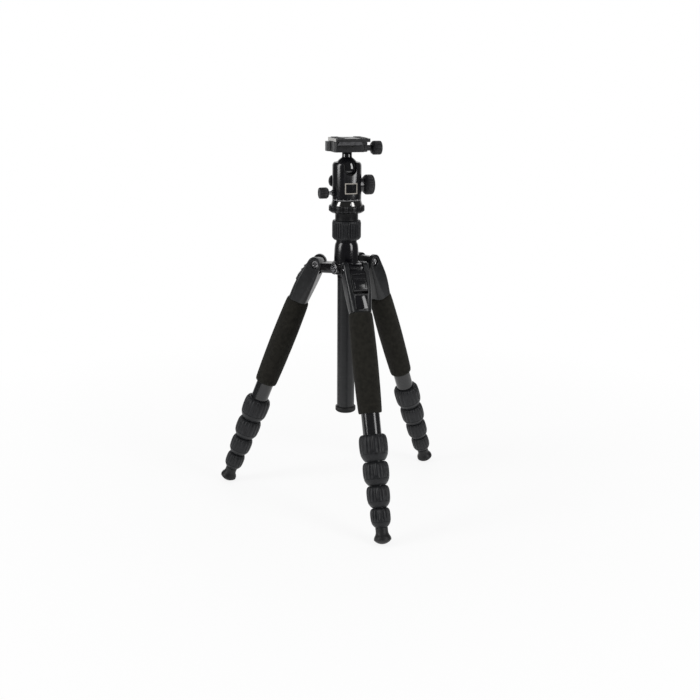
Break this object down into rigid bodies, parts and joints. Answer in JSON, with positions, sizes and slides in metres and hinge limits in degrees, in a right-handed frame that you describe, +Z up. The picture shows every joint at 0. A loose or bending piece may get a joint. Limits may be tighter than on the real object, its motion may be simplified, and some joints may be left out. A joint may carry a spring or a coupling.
{
  "type": "travel tripod",
  "caption": "Reverse folding travel tripod with twist lock telescoping legs, foam grips, a sliding centre column and a ball head with a dovetail clamp and plate.",
  "frame": {"origin": "on the column's axis at floor level, at the centre of the circle on which the three feet stand", "axes": "+Z up along the column; -Y towards the front leg, which is also the side of the head with the drop notch; +X towards the clamp knob and the ball lock knob"},
  "size_m": [0.3002, 0.2627, 0.4566],
  "materials": {
    "satin_black_casting": "satin powder coat",
    "gloss_black_metal": "glossy black anodising",
    "grey_anodised_tube": "satin dark grey anodising",
    "foam": "closed cell foam, matte",
    "grip_rubber": "ribbed rubber, matte",
    "button_plastic": "moulded, satin",
    "foot_rubber": "rubber, matte",
    "chrome": "polished",
    "steel": "turned",
    "polished_bevel": "bright cut and anodised black",
    "seat_polymer": "slippery polymer"
  },
  "bodies": {
    "chassis": {"spider": "gloss_black_metal", "hinge_bolts": "chrome", "accessory_insert": "steel"},
    "front_leg": {"front_leg_casting": "satin_black_casting", "front_tube_1": "grey_anodised_tube", "front_foam_grip": "foam"},
    "front_button": {"front_angle_button": "button_plastic"},
    "front_lock_1": {"front_twist_lock_1": "grip_rubber"},
    "front_lock_2": {"front_twist_lock_2": "grip_rubber"},
    "front_lock_3": {"front_twist_lock_3": "grip_rubber"},
    "front_lock_4": {"front_twist_lock_4": "grip_rubber"},
    "front_section_2": {"front_tube_2": "grey_anodised_tube"},
    "front_section_3": {"front_tube_3": "grey_anodised_tube"},
    "front_section_4": {"front_tube_4": "grey_anodised_tube"},
    "front_section_5": {"front_tube_5": "grey_anodised_tube", "front_foot": "foot_rubber"},
    "right_leg": {"right_leg_casting": "satin_black_casting", "right_tube_1": "grey_anodised_tube", "right_foam_grip": "foam"},
    "right_button": {"right_angle_button": "button_plastic"},
    "right_lock_1": {"right_twist_lock_1": "grip_rubber"},
    "right_lock_2": {"right_twist_lock_2": "grip_rubber"},
    "right_lock_3": {"right_twist_lock_3": "grip_rubber"},
    "right_lock_4": {"right_twist_lock_4": "grip_rubber"},
    "right_section_2": {"right_tube_2": "grey_anodised_tube"},
    "right_section_3": {"right_tube_3": "grey_anodised_tube"},
    "right_section_4": {"right_tube_4": "grey_anodised_tube"},
    "right_section_5": {"right_tube_5": "grey_anodised_tube", "right_foot": "foot_rubber"},
    "left_leg": {"left_leg_casting": "satin_black_casting", "left_tube_1": "grey_anodised_tube", "left_foam_grip": "foam"},
    "left_button": {"left_angle_button": "button_plastic"},
    "left_lock_1": {"left_twist_lock_1": "grip_rubber"},
    "left_lock_2": {"left_twist_lock_2": "grip_rubber"},
    "left_lock_3": {"left_twist_lock_3": "grip_rubber"},
    "left_lock_4": {"left_twist_lock_4": "grip_rubber"},
    "left_section_2": {"left_tube_2": "grey_anodised_tube"},
    "left_section_3": {"left_tube_3": "grey_anodised_tube"},
    "left_section_4": {"left_tube_4": "grey_anodised_tube"},
    "left_section_5": {"left_tube_5": "grey_anodised_tube", "left_foot": "foot_rubber"},
    "collar": {"column_collar": "grip_rubber"},
    "column": {"column_tube": "grey_anodised_tube", "column_cap": "foot_rubber", "column_platform": "gloss_black_metal", "pan_base": "polished_bevel"},
    "hook": {"weight_hook": "steel"},
    "head": {"ball_housing": "gloss_black_metal"},
    "pan_knob": {"pan_knob": "grip_rubber"},
    "ball_lock_knob": {"ball_lock_knob": "grip_rubber"},
    "friction_knob": {"friction_knob": "grip_rubber"},
    "seat": {"ball_seat": "seat_polymer"},
    "ball": {"ball_stem": "gloss_black_metal"},
    "clamp": {"clamp_body": "gloss_black_metal"},
    "jaw": {"clamp_jaw": "gloss_black_metal"},
    "clamp_knob": {"clamp_knob": "grip_rubber"},
    "plate": {"camera_plate": "gloss_black_metal", "plate_pads": "grip_rubber"},
    "screw": {"camera_screw": "steel"}
  },
  "joints": [
    {"name": "front_leg_swing", "type": "hinge", "parent": "chassis", "child": "front_leg", "pos_m": [0, -0.0365, 0.30272], "axis": [-1, 0, 0], "range_deg": [-21.9, 147]},
    {"name": "front_button_slide", "type": "slide", "parent": "front_leg", "child": "front_button", "axis": [0, -0.373, -0.9278], "range_m": [0, 0.0025], "stiffness_N_per_m": 400, "springref_m": -0.001},
    {"name": "front_lock_1_turn", "type": "hinge", "parent": "front_leg", "child": "front_lock_1", "pos_m": [0, -0.11616, 0.11983], "axis": [0, -0.373, -0.9278], "range_deg": [0, 90]},
    {"name": "front_section_2_slide", "type": "slide", "parent": "front_leg", "child": "front_section_2", "axis": [0, -0.373, -0.9278], "range_m": [0, 0.148]},
    {"name": "front_lock_2_turn", "type": "hinge", "parent": "front_section_2", "child": "front_lock_2", "pos_m": [0, -0.1281, 0.09014], "axis": [0, -0.373, -0.9278], "range_deg": [0, 90]},
    {"name": "front_section_3_slide", "type": "slide", "parent": "front_section_2", "child": "front_section_3", "axis": [0, -0.373, -0.9278], "range_m": [0, 0.178]},
    {"name": "front_lock_3_turn", "type": "hinge", "parent": "front_section_3", "child": "front_lock_3", "pos_m": [0, -0.13854, 0.06416], "axis": [0, -0.373, -0.9278], "range_deg": [0, 90]},
    {"name": "front_section_4_slide", "type": "slide", "parent": "front_section_3", "child": "front_section_4", "axis": [0, -0.373, -0.9278], "range_m": [0, 0.204]},
    {"name": "front_lock_4_turn", "type": "hinge", "parent": "front_section_4", "child": "front_lock_4", "pos_m": [0, -0.14824, 0.04004], "axis": [0, -0.373, -0.9278], "range_deg": [0, 90]},
    {"name": "front_section_5_slide", "type": "slide", "parent": "front_section_4", "child": "front_section_5", "axis": [0, -0.373, -0.9278], "range_m": [0, 0.228]},
    {"name": "right_leg_swing", "type": "hinge", "parent": "chassis", "child": "right_leg", "pos_m": [0.03161, 0.01825, 0.30272], "axis": [0.5, -0.866, 0], "range_deg": [-21.9, 147]},
    {"name": "right_button_slide", "type": "slide", "parent": "right_leg", "child": "right_button", "axis": [0.323, 0.1865, -0.9278], "range_m": [0, 0.0025], "stiffness_N_per_m": 400, "springref_m": -0.001},
    {"name": "right_lock_1_turn", "type": "hinge", "parent": "right_leg", "child": "right_lock_1", "pos_m": [0.1006, 0.05808, 0.11983], "axis": [0.323, 0.1865, -0.9278], "range_deg": [0, 90]},
    {"name": "right_section_2_slide", "type": "slide", "parent": "right_leg", "child": "right_section_2", "axis": [0.323, 0.1865, -0.9278], "range_m": [0, 0.148]},
    {"name": "right_lock_2_turn", "type": "hinge", "parent": "right_section_2", "child": "right_lock_2", "pos_m": [0.11094, 0.06405, 0.09014], "axis": [0.323, 0.1865, -0.9278], "range_deg": [0, 90]},
    {"name": "right_section_3_slide", "type": "slide", "parent": "right_section_2", "child": "right_section_3", "axis": [0.323, 0.1865, -0.9278], "range_m": [0, 0.178]},
    {"name": "right_lock_3_turn", "type": "hinge", "parent": "right_section_3", "child": "right_lock_3", "pos_m": [0.11998, 0.06927, 0.06416], "axis": [0.323, 0.1865, -0.9278], "range_deg": [0, 90]},
    {"name": "right_section_4_slide", "type": "slide", "parent": "right_section_3", "child": "right_section_4", "axis": [0.323, 0.1865, -0.9278], "range_m": [0, 0.204]},
    {"name": "right_lock_4_turn", "type": "hinge", "parent": "right_section_4", "child": "right_lock_4", "pos_m": [0.12838, 0.07412, 0.04004], "axis": [0.323, 0.1865, -0.9278], "range_deg": [0, 90]},
    {"name": "right_section_5_slide", "type": "slide", "parent": "right_section_4", "child": "right_section_5", "axis": [0.323, 0.1865, -0.9278], "range_m": [0, 0.228]},
    {"name": "left_leg_swing", "type": "hinge", "parent": "chassis", "child": "left_leg", "pos_m": [-0.03161, 0.01825, 0.30272], "axis": [0.5, 0.866, 0], "range_deg": [-21.9, 147]},
    {"name": "left_button_slide", "type": "slide", "parent": "left_leg", "child": "left_button", "axis": [-0.323, 0.1865, -0.9278], "range_m": [0, 0.0025], "stiffness_N_per_m": 400, "springref_m": -0.001},
    {"name": "left_lock_1_turn", "type": "hinge", "parent": "left_leg", "child": "left_lock_1", "pos_m": [-0.1006, 0.05808, 0.11983], "axis": [-0.323, 0.1865, -0.9278], "range_deg": [0, 90]},
    {"name": "left_section_2_slide", "type": "slide", "parent": "left_leg", "child": "left_section_2", "axis": [-0.323, 0.1865, -0.9278], "range_m": [0, 0.148]},
    {"name": "left_lock_2_turn", "type": "hinge", "parent": "left_section_2", "child": "left_lock_2", "pos_m": [-0.11094, 0.06405, 0.09014], "axis": [-0.323, 0.1865, -0.9278], "range_deg": [0, 90]},
    {"name": "left_section_3_slide", "type": "slide", "parent": "left_section_2", "child": "left_section_3", "axis": [-0.323, 0.1865, -0.9278], "range_m": [0, 0.178]},
    {"name": "left_lock_3_turn", "type": "hinge", "parent": "left_section_3", "child": "left_lock_3", "pos_m": [-0.11998, 0.06927, 0.06416], "axis": [-0.323, 0.1865, -0.9278], "range_deg": [0, 90]},
    {"name": "left_section_4_slide", "type": "slide", "parent": "left_section_3", "child": "left_section_4", "axis": [-0.323, 0.1865, -0.9278], "range_m": [0, 0.204]},
    {"name": "left_lock_4_turn", "type": "hinge", "parent": "left_section_4", "child": "left_lock_4", "pos_m": [-0.12838, 0.07412, 0.04004], "axis": [-0.323, 0.1865, -0.9278], "range_deg": [0, 90]},
    {"name": "left_section_5_slide", "type": "slide", "parent": "left_section_4", "child": "left_section_5", "axis": [-0.323, 0.1865, -0.9278], "range_m": [0, 0.228]},
    {"name": "collar_turn", "type": "hinge", "parent": "chassis", "child": "collar", "pos_m": [0, 0, 0.33364], "axis": [0, 0, 1], "range_deg": [0, 90]},
    {"name": "column_slide", "type": "slide", "parent": "chassis", "child": "column", "axis": [0, 0, 1], "range_m": [0, 0.17]},
    {"name": "hook_flip", "type": "hinge", "parent": "column", "child": "hook", "pos_m": [0, 0, 0.11379], "axis": [0, -1, 0], "range_deg": [0, 90]},
    {"name": "head_pan", "type": "hinge", "parent": "column", "child": "head", "pos_m": [0, 0, 0.38154], "axis": [0, 0, 1], "continuous": true},
    {"name": "pan_knob_turn", "type": "hinge", "parent": "head", "child": "pan_knob", "pos_m": [-0.0177, 0, 0.39072], "axis": [-1, 0, 0], "range_deg": [0, 360]},
    {"name": "ball_lock_knob_turn", "type": "hinge", "parent": "head", "child": "ball_lock_knob", "pos_m": [0.0177, 0, 0.39974], "axis": [1, 0, 0], "range_deg": [0, 270]},
    {"name": "friction_knob_turn", "type": "hinge", "parent": "head", "child": "friction_knob", "pos_m": [-0.01138, 0.01356, 0.40357], "axis": [-0.6428, 0.766, 0], "range_deg": [0, 270]},
    {"name": "ball_roll", "type": "hinge", "parent": "head", "child": "seat", "pos_m": [0, 0, 0.42024], "axis": [0, 1, 0], "range_deg": [-18, 18]},
    {"name": "ball_tilt", "type": "hinge", "parent": "seat", "child": "ball", "pos_m": [0, 0, 0.42024], "axis": [1, 0, 0], "range_deg": [-20, 90]},
    {"name": "ball_spin", "type": "hinge", "parent": "ball", "child": "clamp", "pos_m": [0, 0, 0.43994], "axis": [0, 0, 1], "continuous": true},
    {"name": "jaw_slide", "type": "slide", "parent": "clamp", "child": "jaw", "axis": [1, 0, 0], "range_m": [0, 0.0025]},
    {"name": "clamp_knob_turn", "type": "hinge", "parent": "jaw", "child": "clamp_knob", "pos_m": [0.02072, 0, 0.44378], "axis": [1, 0, 0], "range_deg": [0, 720]},
    {"name": "plate_slide", "type": "slide", "parent": "clamp", "child": "plate", "axis": [0, 1, 0], "range_m": [-0.01, 0.01]},
    {"name": "screw_rise", "type": "slide", "parent": "plate", "child": "screw", "axis": [0, 0, 1], "range_m": [0, 0.0035]}
  ],
  "couplings": [
    {"joint": "clamp_knob_turn", "follows": "jaw_slide", "rad_per_m": 5026}
  ]
}
